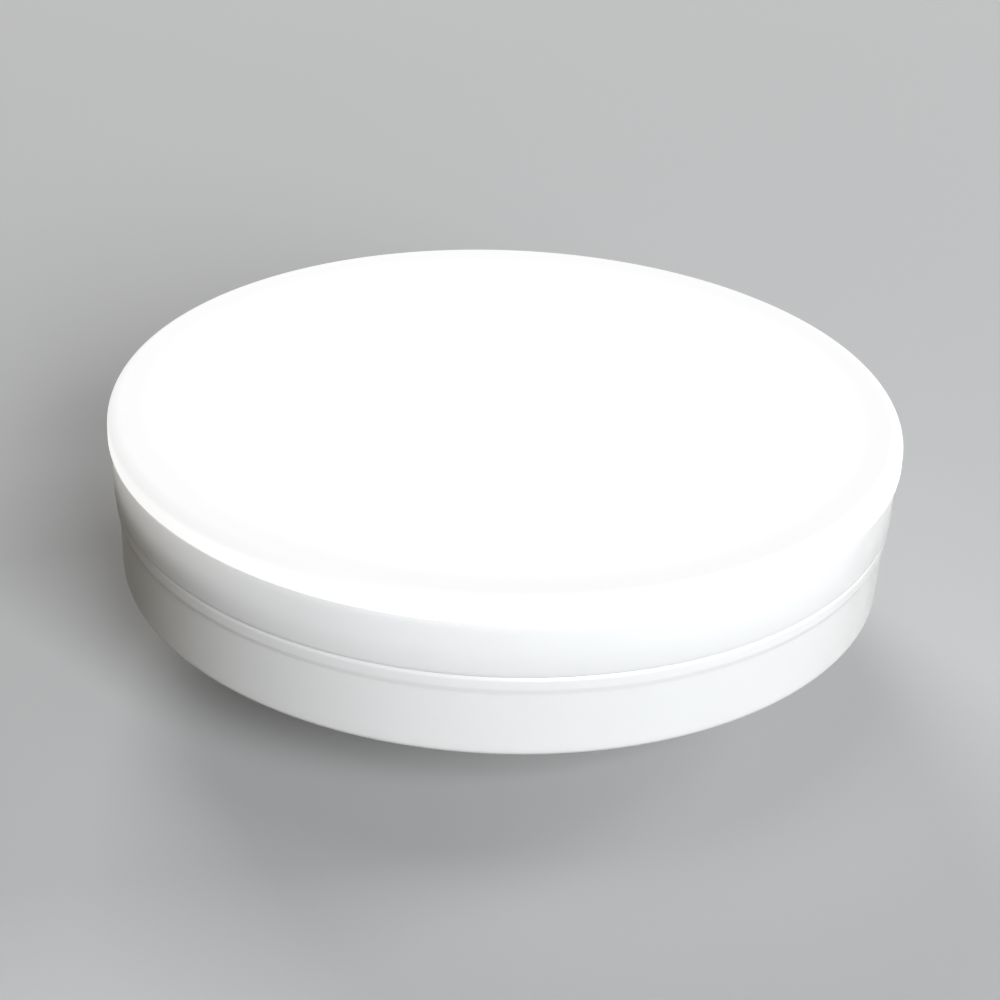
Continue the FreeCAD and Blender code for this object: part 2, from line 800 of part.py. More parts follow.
def make_varistor():
    """A coated disc that stands on edge under the board."""
    place = hanging_place("varistor", "driver_foot_level - varistor_radius")
    body = new_body("varistor", place)
    outline = new_sketch(body, "DiscOutline", "XZ_Plane")
    draw_circle(outline, "0", "0", "varistor_radius")
    disc = pad(body, outline, "Disc", "varistor_thickness", midplane=True)
    doc.recompute()
    rims = [
        f"Edge{index}" for index, edge in enumerate(disc.Shape.Edges, start=1)
        if isinstance(edge.Curve, Part.Circle)]
    rounding = body.newObject("PartDesign::Fillet", "DiscEdges")
    rounding.Base = (disc, rims)
    rounding.setExpression("Radius", formula("varistor_edge"))
    return body


def make_fuse_resistor():
    """A fusible resistor that stands on one end, with its two pressed caps."""
    body = new_body("fuse_resistor", hanging_place("fuse"))
    sketch = new_sketch(body, "FuseProfile", "XZ_Plane")
    draw_polygon(sketch, [
        ("0", "0"),
        ("fuse_radius", "0"),
        ("fuse_radius", "-fuse_cap_height"),
        ("fuse_waist_radius", "-fuse_cap_height"),
        ("fuse_waist_radius", "fuse_cap_height - fuse_height"),
        ("fuse_radius", "fuse_cap_height - fuse_height"),
        ("fuse_radius", "-fuse_height"),
        ("0", "-fuse_height"),
    ])
    revolve(body, sketch, "Fuse")
    return body


def make_inductor():
    """A ferrite drum core and the copper winding round its hub."""
    place = hanging_place("choke")
    core = new_body("inductor_core", place)
    sketch = new_sketch(core, "CoreProfile", "XZ_Plane")
    draw_polygon(sketch, [
        ("0", "0"),
        ("choke_radius", "0"),
        ("choke_radius", "-choke_flange"),
        ("choke_hub_radius", "-choke_flange"),
        ("choke_hub_radius", "choke_flange - choke_height"),
        ("choke_radius", "choke_flange - choke_height"),
        ("choke_radius", "-choke_height"),
        ("0", "-choke_height"),
    ])
    revolve(core, sketch, "Core")
    winding = new_body("inductor_winding", place)
    sketch = new_sketch(winding, "WindingProfile", "XZ_Plane")
    draw_polygon(sketch, [
        ("choke_hub_radius + choke_play", "-choke_flange - choke_play"),
        ("choke_winding_radius", "-choke_flange - choke_play"),
        ("choke_winding_radius", "choke_flange + choke_play - choke_height"),
        ("choke_hub_radius + choke_play", "choke_flange + choke_play - choke_height"),
    ])
    revolve(winding, sketch, "Winding")
    return core, winding


def make_gull_wing_part(label, stem, across, along):
    """A moulded package with bent leads along its two long sides."""
    body = new_body(label, (across, along, "driver_top_level"))
    length, width, height = f"{stem}_length", f"{stem}_width", f"{stem}_height"
    copies, pitch = f"{stem}_lead_count", f"{stem}_lead_pitch"
    outline = new_sketch(body, "PackageOutline", "XY_Plane", "package_lift")
    draw_polygon(outline, rectangle("0", "0", length, width))
    pad(body, outline, "Package", height)
    span = f"{pitch} * ({copies} - 1)"
    profile = new_sketch(body, "LeadProfile", "YZ_Plane", f"-({span}) / 2")
    wall = f"{width} / 2"
    for side in ("-1", "1"):
        draw_polygon(profile, [
            (f"{side} * ({wall} - lead_thickness)", "lead_rise"),
            (f"{side} * ({wall} + lead_shoulder)", "lead_rise"),
            (f"{side} * ({wall} + lead_shoulder)", "0"),
            (f"{side} * ({wall} + lead_foot)", "0"),
            (f"{side} * ({wall} + lead_foot)", "lead_thickness"),
            (f"{side} * ({wall} + lead_shoulder + lead_thickness)", "lead_thickness"),
            (f"{side} * ({wall} + lead_shoulder + lead_thickness)", "lead_rise + lead_thickness"),
            (f"{side} * ({wall} - lead_thickness)", "lead_rise + lead_thickness"),
        ])
    leads = pad(body, profile, "Leads", "lead_width", midplane=True)
    linear_pattern(body, [leads], "LeadRow", "X_Axis", span, copies)
    return body


def make_output_diode():
    """A moulded diode with a sloped top and a narrower tab at each end."""
    body = new_body("output_diode", ("diode_across", "diode_along", "driver_top_level"))
    profile = new_sketch(body, "PackageProfile", "XZ_Plane")
    draw_polygon(profile, [
        ("-diode_length / 2", "0"),
        ("diode_length / 2", "0"),
        ("diode_length / 2", "diode_shoulder_height"),
        ("diode_length / 2 - diode_top_inset", "diode_height"),
        ("-diode_length / 2 + diode_top_inset", "diode_height"),
        ("-diode_length / 2", "diode_shoulder_height"),
    ])
    pad(body, profile, "Package", "diode_width", midplane=True)
    tabs = new_sketch(body, "TabOutline", "XY_Plane")
    draw_polygon(tabs, rectangle(
        "0", "0", "diode_length + 2 * diode_tab_length", "diode_tab_width"))
    pad(body, tabs, "Tabs", "lead_thickness")
    return body


def make_resistor(label, across, along):
    """A chip resistor with its two plated ends standing a little proud."""
    body = new_body(label, (across, along, "driver_top_level"))
    outline = new_sketch(body, "ChipOutline", "XY_Plane", "resistor_cap_step")
    draw_polygon(outline, rectangle("0", "0", "resistor_length", "resistor_width"))
    pad(body, outline, "Chip", "resistor_height")
    caps = new_sketch(body, "CapOutline", "XY_Plane")
    for side in ("-1", "1"):
        middle = f"{side} * (resistor_length - resistor_cap_length) / 2"
        draw_polygon(caps, rectangle(middle, "0", "resistor_cap_length", "resistor_width"))
    pad(body, caps, "Caps", "resistor_height + 2 * resistor_cap_step")
    return body


# Leads that the lamp holds all the way


def rounded_path(points, bend):
    """Straight runs through the points, joined by tangent arcs."""
    edges = []
    start = points[0]
    for before, corner, after in zip(points, points[1:], points[2:]):
        arriving = (corner - before).normalize()
        leaving = (after - corner).normalize()
        half_turn = arriving.getAngle(leaving) / 2
        reach = bend * math.tan(half_turn)
        entry = corner - arriving * reach
        departure = corner + leaving * reach
        inward = (leaving - arriving).normalize()
        middle = corner + inward * (bend / math.cos(half_turn) - bend)
        edges.append(Part.LineSegment(start, entry).toShape())
        edges.append(Part.Arc(entry, middle, departure).toShape())
        start = departure
    edges.append(Part.LineSegment(start, points[-1]).toShape())
    return Part.Wire(edges)


def make_lead(label, rules):
    """A round insulated lead through points that follow rules."""
    points = [FreeCAD.Vector(*[size(rule) for rule in rule_set]) for rule_set in rules]
    path = rounded_path(points, size("lead_bend_radius"))
    radius = size("lead_wire_radius")
    ring = Part.Wire([Part.makeCircle(radius, points[0], points[1] - points[0])])
    tube = path.makePipeShell([ring], True, True)
    expected = math.pi * radius ** 2 * path.Length
    if abs(tube.Volume - expected) > SAME_SHARE * expected:
        raise RuntimeError(f"{label}: tube holds {tube.Volume:.3f}, path gives {expected:.3f}")
    feature = doc.addObject("Part::Feature", label)
    feature.Label = label
    feature.Shape = tube
    feature.Placement = FreeCAD.Placement()
    pieces.append(feature)
    return feature


def make_input_lead(label, side):
    """From a contact pin's tail, midway under the film, to a pad on the driver board."""
    top = "input_lead_level"
    pin = f"{side}pin_radius_from_axis"
    make_lead(label, [
        (pin, "0", "pin_tail_level"),
        (pin, "0", top),
        (f"{side}input_pad_across", f"{side}input_pad_along", top),
        (f"{side}input_pad_across", f"{side}input_pad_along", "driver_top_level"),
    ])


def make_output_lead(label, side):
    """From the driver board up through the plate and over to a pad on the LED board."""
    top = "led_board_top_level + output_lead_top"
    foot = f"{side}output_lead_spread"
    make_lead(label, [
        (foot, "0", "driver_top_level"),
        (foot, "0", top),
        (f"{side}output_pad_across", "0", top),
        (f"{side}output_pad_across", "0", "led_board_top_level"),
    ])


def check_and_write():
    """Stop on any failed object, then write one file for each piece."""
    doc.recompute()
    for item in doc.Objects:
        if "Invalid" in item.State or "Error" in item.State:
            raise RuntimeError(f"{item.Name} failed: {item.State}")
    os.makedirs("parts", exist_ok=True)
    for piece in pieces:
        shape = piece.Shape
        if shape.isNull() or not shape.isValid() or not shape.Solids:
            raise RuntimeError(f"{piece.Label} has no valid solid")
    for piece in pieces:
        piece.Shape.exportStep(f"parts/{piece.Label}.step")
    box = Part.makeCompound([piece.Shape for piece in pieces]).BoundBox
    print(f"{len(pieces)} pieces, {box.XLength:.2f} x {box.YLength:.2f} x {box.ZLength:.2f} mm")


fill_sheet()
make_housing()
make_diffuser()
make_contact_pin("contact_pin_left", "-")
make_contact_pin("contact_pin_right", "")
make_heat_plate()
make_insulating_sheet()
make_led_board()
make_led_ring("led_outer", "outer_ring_radius", "outer_led_count")
make_led_ring("led_inner", "inner_ring_radius", "inner_led_count")
make_board_screws()
make_driver_board()
make_can("bulk_capacitor", "bulk")
make_can("output_capacitor", "output_can")
make_film_capacitor()
make_varistor()
make_fuse_resistor()
make_inductor()
make_gull_wing_part("bridge_rectifier", "bridge", "bridge_across", "bridge_along")
make_gull_wing_part("driver_chip", "chip", "chip_across", "chip_along")
make_output_diode()
make_resistor("sense_resistor", "sense_across", "sense_along")
make_resistor("start_resistor", "start_across", "start_along")
make_input_lead("input_lead_left", "-")
make_input_lead("input_lead_right", "")
make_output_lead("output_lead_plus", "")
make_output_lead("output_lead_minus", "-")
check_and_write()
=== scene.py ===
import math
from collections import Counter

import bmesh
import bpy
from mathutils import Matrix, Vector


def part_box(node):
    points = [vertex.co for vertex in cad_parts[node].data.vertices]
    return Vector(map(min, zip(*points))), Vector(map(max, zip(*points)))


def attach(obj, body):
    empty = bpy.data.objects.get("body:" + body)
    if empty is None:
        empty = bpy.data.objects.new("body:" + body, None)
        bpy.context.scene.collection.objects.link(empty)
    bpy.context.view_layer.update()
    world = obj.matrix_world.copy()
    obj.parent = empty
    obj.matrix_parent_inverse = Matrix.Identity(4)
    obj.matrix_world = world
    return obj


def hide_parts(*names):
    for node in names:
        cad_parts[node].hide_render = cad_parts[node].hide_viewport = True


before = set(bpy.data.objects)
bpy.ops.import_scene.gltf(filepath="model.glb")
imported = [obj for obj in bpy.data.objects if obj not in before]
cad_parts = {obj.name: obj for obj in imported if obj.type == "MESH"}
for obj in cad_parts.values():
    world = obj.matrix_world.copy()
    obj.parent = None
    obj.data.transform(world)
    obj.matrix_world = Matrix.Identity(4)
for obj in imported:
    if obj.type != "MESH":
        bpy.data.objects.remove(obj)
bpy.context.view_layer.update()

MM = 0.001
BODY = "root"

# Axes, as a corner of a box counts them
ALONG_X, ALONG_Y = 0, 1

# Levels and radii read from the frame
RIM_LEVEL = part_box("housing")[1].z
DISC_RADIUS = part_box("diffuser")[1].x
LED_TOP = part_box("led_outer_01")[1].z
PIN_RADIUS = (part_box("contact_pin_right")[0].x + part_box("contact_pin_right")[1].x) / 2

# Turned skins: the gap that counts as none, steps round the axis, the corners that a full ring has
# more of, and the bend between two stretches from which their edge stays sharp
MERGE_GAP = 1e-6
TURN_STEPS = 360
RING_CORNERS = 80
SHARP_ANGLE = math.radians(35)
STRAIGHT_UP = Vector((0.0, 0.0, 1.0))

# The bead's underside: its two levels, and how far its shading leans to an upright wall's
SOFT_FOOT, SOFT_TOP = 16.75 * MM, 17.6 * MM
SOFTENING = 0.55

# Turned pieces that show: the record's slot, what is outside, and whether a new flat top closes it
DRUM_TOP = 18.0 * MM
DRUM_SKIN, BAND_SKIN, LID_SKIN = 36.0 * MM, 36.5 * MM, 36.1 * MM
TURNED = {
    "housing": (
        "white_housing",
        lambda radius, level: radius > (DRUM_SKIN if level < DRUM_TOP else BAND_SKIN),
        False),
    "diffuser": (
        "opal_lid",
        lambda radius, level: radius > LID_SKIN and level > RIM_LEVEL - MERGE_GAP,
        True),
}

# The lid's light: on its face, on its side, and what is lost over the skirt, in a ring that starts,
# is full and starts to end so far in from the edge
FACE_GLOW, SIDE_GLOW, SKIRT_LOSS = 0.742, 0.88, 0.064
LOSS_START, LOSS_FULL, LOSS_END = 5.8 * MM, 2.4 * MM, 1.6 * MM

# Painted glow on the housing under the rim. Part of it is the lamp's light through the thin wall,
# and part is painted to make the left side lighter. Listed: its strength at the left, from a turn
# on to the right, and how deep under the rim it reaches
PAINTED_GLOW_LEFT, PAINTED_GLOW_RIGHT = 0.28, 0.05
PAINTED_GLOW_TURN = -0.35 * DISC_RADIUS
PAINTED_GLOW_DEPTH = 5.0 * MM

# A surface's uneven gloss: where most of a noise lies, and how far roughness strays from its number
NOISE_LOW, NOISE_HIGH = 0.3, 0.7
SMOOTHER, ROUGHER = 0.05, 0.07

# Stage: the floor, where it fades to the backdrop, its colour as the camera sees it and as light
# bounces off it, and the sky as light and as the backdrop that is seen
FLOOR_RADIUS = 3.0
FLOOR_CORNERS = 96
FADE_START, FADE_END = 0.2, 0.6
FLOOR_COLOUR = (0.56, 0.565, 0.575)
FLOOR_BOUNCE = (0.24, 0.225, 0.195)
SKY_COLOUR = (1.0, 0.86, 0.70, 1.0)
SKY_STRENGTH = 0.05
SKY_SEEN = (0.60, 0.605, 0.615, 1.0)

# Lamps: name, azimuth, elevation, watts, colour, and whether glossy surfaces mirror it
LAMP_DISTANCE = 1.0
LAMP_SIZE = 0.45
LAMPS = (
    ("key_lamp", -65.0, 28.0, 10.6, (0.965, 0.985, 1.0), True),
    ("side_lamp", 20.0, 28.0, 3.8, (0.98, 0.99, 1.0), True),
    ("back_lamp", 110.0, 30.0, 5.4, (1.0, 0.99, 0.97), False),
)

# The photograph's view: lens and sensor in millimetres, how far down the camera looks, its roll,
# where the rim's centre is, right of the camera, below it and ahead of it, and the nearest it shows
PHOTO_LENS = 90.0
PHOTO_SENSOR = 36.0
PHOTO_ELEVATION = math.radians(28.3)
PHOTO_ROLL = math.radians(2.35)
PHOTO_RIM_CENTRE = Vector((0.54, -7.4, 238.2)) * MM
NEAREST_SEEN = 5 * MM


class Tree:
    """A material's nodes, with short calls that add a node and wire it."""

    def __init__(self, name):
        self.material = bpy.data.materials.new(name)
        self.material.use_nodes = True
        self.nodes = self.material.node_tree.nodes
        self.shader = self.nodes["Principled BSDF"].inputs
        coordinates = self.add("ShaderNodeTexCoord")
        self.place = coordinates.outputs["Object"]
        self.x, self.y, self.z = self.split(self.place)
        self.up = self.split(coordinates.outputs["Normal"])[2]

    def add(self, kind, **settings):
        node = self.nodes.new(kind)
        for name, value in settings.items():
            setattr(node, name, value)
        return node

    def feed(self, socket, value):
        """Give a socket another node's output, or a plain value."""
        if isinstance(value, bpy.types.NodeSocket):
            self.material.node_tree.links.new(value, socket)
        else:
            socket.default_value = value

    def split(self, vector):
        node = self.add("ShaderNodeSeparateXYZ")
        self.feed(node.inputs[0], vector)
        return node.outputs

    def math(self, operation, *values):
        node = self.add("ShaderNodeMath", operation=operation)
        for socket, value in zip(node.inputs, values):
            self.feed(socket, value)
        return node.outputs[0]

    def noise(self, size, detail=3.0, stretch=(1.0, 1.0, 1.0)):
        """Soft noise whose blotches are about the given size across."""
        mapping = self.add("ShaderNodeMapping")
        self.feed(mapping.inputs["Vector"], self.place)
        mapping.inputs["Scale"].default_value = stretch
        node = self.add("ShaderNodeTexNoise")
        self.feed(node.inputs["Vector"], mapping.outputs[0])
        node.inputs["Scale"].default_value = 1.0 / size
        node.inputs["Detail"].default_value = detail
        return node.outputs["Fac"]

    def ramp(self, value, start, end, low=0.0, high=1.0):
        """Low before start, high after end, and smooth between them."""
        node = self.add("ShaderNodeMapRange", interpolation_type="SMOOTHSTEP")
        numbers = {"From Min": start, "From Max": end, "To Min": low, "To Max": high}
        for name, number in numbers.items():
            node.inputs[name].default_value = number
        self.feed(node.inputs["Value"], value)
        return node.outputs["Result"]

    def mix(self, share, first, second):
        """Blend two colours."""
        node = self.add("ShaderNodeMix", data_type="RGBA")
        self.feed(node.inputs[0], share)
        self.feed(node.inputs[6], first)
        self.feed(node.inputs[7], second)
        return node.outputs[2]

    def bump(self, height, depth, normal=None):
        """Raise the surface by a 0 to 1 height times a depth in metres."""
        node = self.add("ShaderNodeBump")
        node.inputs["Distance"].default_value = depth
        self.feed(node.inputs["Height"], height)
        if normal is not None:
            self.feed(node.inputs["Normal"], normal)
        return node.outputs["Normal"]

    def radius(self, x, y):
        squares = self.math("MULTIPLY", x, x), self.math("MULTIPLY", y, y)
        return self.math("SQRT", self.math("ADD", *squares))

    def ripple(self, distance, pitch):
        """A wave from 0 to 1 that repeats along a distance."""
        turns = self.math("MULTIPLY", distance, 2 * math.pi / pitch)
        return self.math("MULTIPLY_ADD", self.math("SINE", turns), 0.5, 0.5)

    def beyond(self, value, middle, half):
        """1 where a coordinate is further than half from the middle."""
        away = self.math("ABSOLUTE", self.math("SUBTRACT", value, middle))
        return self.math("GREATER_THAN", away, half)


def tint(colour, factor=1.0):
    """A colour with its alpha, made lighter or darker by a factor."""
    return (*(min(1.0, channel * factor) for channel in colour), 1.0)


def add_object(name, data):
    thing = bpy.data.objects.new(name, data)
    bpy.context.scene.collection.objects.link(thing)
    return thing


def coated(
        name, colour, roughness, blotch=6 * MM, mottling=0.03, grain=0.15 * MM, depth=0.006 * MM):
    """A moulded or painted surface: faint mottling, uneven gloss and a fine grain."""
    tree = Tree(name)
    mottled = tree.mix(tree.noise(blotch), tint(colour, 1 - mottling), tint(colour, 1 + mottling))
    tree.feed(tree.shader["Base Color"], mottled)
    gloss = tree.ramp(
        tree.noise(blotch / 4, detail=5.0), NOISE_LOW, NOISE_HIGH,
        roughness - SMOOTHER, roughness + ROUGHER)
    tree.feed(tree.shader["Roughness"], gloss)
    tree.feed(tree.shader["Normal"], tree.bump(tree.noise(grain, detail=4.0), depth))
    return tree


def metal(name, colour, roughness):
    """Bare metal, with faint stains and an uneven polish."""
    tree = coated(name, colour, roughness, 3 * MM, mottling=0.08, grain=0.1 * MM, depth=0.004 * MM)
    tree.feed(tree.shader["Metallic"], 1.0)
    return tree


# Materials that show


def housing_plastic():
    """White plastic with a glow under the lid: partly the lamp's light through the wall, and partly
    a painted glow that is stronger at the left side.
    """
    tree = coated("housing_plastic", (0.865, 0.875, 0.89), 0.34, blotch=9 * MM, mottling=0.012)
    flow = tree.bump(tree.noise(12 * MM, detail=1.0), 0.03 * MM)
    tree.feed(tree.shader["Normal"], tree.bump(tree.noise(0.2 * MM, detail=4.0), 0.005 * MM, flow))
    # Painted glow: emission that is strongest at the left side and near the rim, fading downward
    across = tree.ramp(tree.x, -DISC_RADIUS, PAINTED_GLOW_TURN, PAINTED_GLOW_LEFT, PAINTED_GLOW_RIGHT)
    down = tree.ramp(tree.z, RIM_LEVEL - PAINTED_GLOW_DEPTH, RIM_LEVEL)
    tree.feed(tree.shader["Emission Color"], tint((1.0, 0.985, 0.96)))
    tree.feed(tree.shader["Emission Strength"], tree.math("MULTIPLY", across, down))
    tree.feed(tree.shader["Subsurface Weight"], 0.7)
    tree.feed(tree.shader["Subsurface Radius"], (1.0, 1.0, 1.0))
    tree.feed(tree.shader["Subsurface Scale"], 1.0 * MM)
    return tree.material


def lid_plastic():
    """Opal plastic, lit from behind, a little dimmer over the skirt that stands under it."""
    tree = coated("lid_plastic", (0.28, 0.28, 0.28), 0.42, blotch=15 * MM, mottling=0.01)
    radius = tree.radius(tree.x, tree.y)
    loss = tree.math(
        "MULTIPLY", tree.ramp(radius, DISC_RADIUS - LOSS_START, DISC_RADIUS - LOSS_FULL),
        tree.ramp(radius, DISC_RADIUS - LOSS_END, DISC_RADIUS, 1.0, 0.0))
    glow = tree.ramp(tree.up, 0.6, 0.1, FACE_GLOW, SIDE_GLOW)
    dimmed = tree.math("SUBTRACT", glow, tree.math("MULTIPLY", loss, SKIRT_LOSS))
    tree.feed(tree.shader["Emission Color"], tint((1.0, 1.0, 1.0)))
    tree.feed(tree.shader["Emission Strength"], dimmed)
    return tree.material


def pin_plating():
    """Nickel plate over turned brass, with the tool's fine rings."""
    tree = metal("pin_plating", (0.74, 0.72, 0.67), 0.22)
    across = tree.math("SUBTRACT", tree.math("ABSOLUTE", tree.x), PIN_RADIUS)
    rings = tree.math("ADD", tree.radius(across, tree.y), tree.z)
    worn = tree.bump(tree.noise(0.3 * MM), 0.004 * MM)
    tree.feed(tree.shader["Normal"], tree.bump(tree.ripple(rings, 0.11 * MM), 0.003 * MM, worn))
    return tree.material


def studio_floor():
    """A pale matt floor that fades into the backdrop.

    What bounces off it meets a duller colour, as the photograph's darker floor gives.
    """
    tree = coated(
        "studio_floor", FLOOR_COLOUR, 0.8, blotch=150 * MM, mottling=0.008, grain=0.8 * MM)
    rays = tree.add("ShaderNodeLightPath")
    mottled = tree.shader["Base Color"].links[0].from_socket
    seen = tree.mix(rays.outputs["Is Camera Ray"], tint(FLOOR_BOUNCE), mottled)
    tree.feed(tree.shader["Base Color"], seen)
    tree.feed(tree.shader["Specular IOR Level"], 0.08)
    backdrop = tree.add("ShaderNodeEmission")
    tree.feed(backdrop.inputs["Color"], SKY_SEEN)
    fade = tree.ramp(tree.radius(tree.x, tree.y), FADE_START, FADE_END)
    blend = tree.add("ShaderNodeMixShader")
    tree.feed(blend.inputs["Fac"], tree.math("MULTIPLY", fade, rays.outputs["Is Camera Ray"]))
    tree.feed(blend.inputs[1], tree.nodes["Principled BSDF"].outputs[0])
    tree.feed(blend.inputs[2], backdrop.outputs[0])
    tree.feed(tree.nodes["Material Output"].inputs["Surface"], blend.outputs[0])
    return tree.material


# Materials inside the lamp


def plate_aluminium():
    """Rolled aluminium: streaks along one way."""
    tree = metal("plate_aluminium", (0.77, 0.78, 0.79), 0.34)
    streaks = tree.noise(0.25 * MM, stretch=(0.04, 1.0, 1.0))
    tree.feed(tree.shader["Normal"], tree.bump(streaks, 0.006 * MM))
    return tree.material


def sheet_film():
    tree = coated("sheet_film", (0.80, 0.77, 0.69), 0.24, blotch=12 * MM)
    tree.feed(tree.shader["Coat Weight"], 0.3)
    return tree.material


def board_mask():
    """White solder mask over two ring tracks that stand a little proud."""
    mask, over_track = (0.86, 0.86, 0.83), (0.84, 0.81, 0.73)
    tree = coated("board_mask", mask, 0.4)
    radius = tree.radius(tree.x, tree.y)
    track = tree.math("MULTIPLY", tree.ripple(radius, 3.2 * MM), tree.ripple(radius, 9.6 * MM))
    raised = tree.ramp(track, 0.42, 0.5)
    tree.feed(tree.shader["Normal"], tree.bump(raised, 0.05 * MM))
    tree.feed(tree.shader["Base Color"], tree.mix(raised, tint(mask), tint(over_track)))
    return tree.material


def led_package():
    """A white package whose sunken window holds yellow phosphor."""
    package = (0.86, 0.86, 0.84)
    tree = coated("led_package", package, 0.35, blotch=1 * MM)
    sunk = tree.math("LESS_THAN", tree.z, LED_TOP - 0.05 * MM)
    window = tree.math("MULTIPLY", sunk, tree.math("GREATER_THAN", tree.up, 0.5))
    grains = tree.noise(0.08 * MM, detail=5.0)
    phosphor = tree.mix(grains, tint((0.86, 0.62, 0.10)), tint((0.95, 0.78, 0.26)))
    tree.feed(tree.shader["Base Color"], tree.mix(window, tint(package), phosphor))
    return tree.material


def screw_zinc():
    return metal("screw_zinc", (0.66, 0.68, 0.71), 0.3).material


def driver_mask():
    """Green solder mask over tracks in patches that run one way or the other; a bare glass edge."""
    mask, over_track, glass = (0.025, 0.16, 0.07), (0.06, 0.30, 0.12), (0.48, 0.42, 0.22)
    patch, pitch = 7.0 * MM, 1.6 * MM
    tree = coated("driver_mask", mask, 0.32)
    cells = tree.add("ShaderNodeTexVoronoi", feature="F1", distance="CHEBYCHEV")
    tree.feed(cells.inputs["Vector"], tree.place)
    cells.inputs["Scale"].default_value = 1.0 / patch
    turned = tree.math("GREATER_THAN", tree.split(cells.outputs["Color"])[0], 0.5)
    straight = tree.math("SUBTRACT", 1.0, turned)
    along = tree.math("MULTIPLY", turned, tree.ripple(tree.x, pitch))
    across = tree.math("MULTIPLY", straight, tree.ripple(tree.y, pitch))
    track = tree.ramp(tree.math("ADD", along, across), 0.72, 0.80)
    green = tree.mix(track, tint(mask), tint(over_track))
    flat = tree.math("GREATER_THAN", tree.math("ABSOLUTE", tree.up), 0.5)
    tree.feed(tree.shader["Base Color"], tree.mix(flat, tint(glass), green))
    tree.feed(tree.shader["Normal"], tree.bump(track, 0.035 * MM))
    return tree.material


def can_sleeve(node):
    """A dark shrunk-on sleeve with one pale stripe, and the can's bare end."""
    dark, pale, bare = (0.02, 0.025, 0.04), (0.55, 0.57, 0.6), (0.72, 0.73, 0.74)
    tree = coated(f"{node}_sleeve", dark, 0.25, blotch=2 * MM)
    low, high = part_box(node)
    middle = (low + high) / 2
    reach = (high.x - low.x) / 2
    across = tree.math("SUBTRACT", tree.x, middle.x)
    along = tree.math("SUBTRACT", tree.y, middle.y)
    stripe = tree.math("GREATER_THAN", across, reach * 0.86)
    sleeve = tree.mix(stripe, tint(dark), tint(pale))
    inside = tree.math("LESS_THAN", tree.radius(across, along), reach * 0.8)
    end = tree.math("MULTIPLY", inside, tree.math("LESS_THAN", tree.up, -0.5))
    tree.feed(tree.shader["Base Color"], tree.mix(end, sleeve, tint(bare)))
    tree.feed(tree.shader["Metallic"], end)
    return tree.material


def dipped(name, colour):
    """A glossy dipped coat with a slightly uneven skin."""
    tree = coated(name, colour, 0.22, blotch=2 * MM)
    tree.feed(tree.shader["Normal"], tree.bump(tree.noise(1.2 * MM), 0.05 * MM))
    tree.feed(tree.shader["Coat Weight"], 0.4)
    return tree.material


def lacquered_resistor():
    """Green flameproof lacquer with plain colour bands."""
    lacquer, band = (0.08, 0.22, 0.14), (0.45, 0.16, 0.05)
    tree = coated("lacquered_resistor", lacquer, 0.4, blotch=1 * MM)
    bands = tree.ramp(tree.ripple(tree.z, 2.2 * MM), 0.8, 0.84)
    tree.feed(tree.shader["Base Color"], tree.mix(bands, tint(lacquer), tint(band)))
    return tree.material


def choke_ferrite():
    tree = coated("choke_ferrite", (0.055, 0.055, 0.06), 0.5, blotch=1.5 * MM, mottling=0.2)
    return tree.material


def wound_copper():
    """Enamelled wire, laid turn by turn."""
    tree = metal("wound_copper", (0.74, 0.33, 0.14), 0.26)
    tree.feed(tree.shader["Normal"], tree.bump(tree.ripple(tree.z, 0.28 * MM), 0.09 * MM))
    return tree.material


def chip_with_leads(node, axis, lead):
    """Black moulding, with tinned leads past its two sides."""
    black, tin = (0.022, 0.022, 0.024), (0.72, 0.72, 0.7)
    tree = coated(f"{node}_moulding", black, 0.45, blotch=1 * MM, mottling=0.15)
    low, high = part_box(node)
    coordinate = tree.x if axis == ALONG_X else tree.y
    half = (high[axis] - low[axis]) / 2 - lead
    tinned = tree.beyond(coordinate, (high[axis] + low[axis]) / 2, half)
    tree.feed(tree.shader["Base Color"], tree.mix(tinned, tint(black), tint(tin)))
    tree.feed(tree.shader["Metallic"], tinned)
    return tree.material


def insulated_wire(name, colour):
    return coated(name, colour, 0.3, blotch=3 * MM).material


# Each node's material, found by how its name starts, so the longer of two alike starts comes first
MATERIALS = {
    "housing": housing_plastic,
    "diffuser": lid_plastic,
    "contact_pin": pin_plating,
    "heat_plate": plate_aluminium,
    "insulating_sheet": sheet_film,
    "led_board": board_mask,
    "led_": led_package,
    "board_screws": screw_zinc,
    "driver_board": driver_mask,
    "bulk_capacitor": lambda: can_sleeve("bulk_capacitor"),
    "output_capacitor": lambda: can_sleeve("output_capacitor"),
    "film_capacitor": lambda: dipped("boxed_red", (0.42, 0.05, 0.03)),
    "varistor": lambda: dipped("dipped_blue", (0.03, 0.10, 0.36)),
    "fuse_resistor": lacquered_resistor,
    "inductor_core": choke_ferrite,
    "inductor_winding": wound_copper,
    "bridge_rectifier": lambda: chip_with_leads("bridge_rectifier", ALONG_Y, 1.0 * MM),
    "driver_chip": lambda: chip_with_leads("driver_chip", ALONG_Y, 1.0 * MM),
    "output_diode": lambda: chip_with_leads("output_diode", ALONG_X, 0.5 * MM),
    "sense_resistor": lambda: chip_with_leads("sense_resistor", ALONG_X, 0.5 * MM),
    "start_resistor": lambda: chip_with_leads("start_resistor", ALONG_X, 0.5 * MM),
    "input_lead": lambda: insulated_wire("white_insulation", (0.80, 0.80, 0.78)),
    "output_lead_plus": lambda: insulated_wire("red_insulation", (0.50, 0.02, 0.02)),
    "output_lead_minus": lambda: insulated_wire("black_insulation", (0.02, 0.02, 0.022)),
}


# Skins turned again


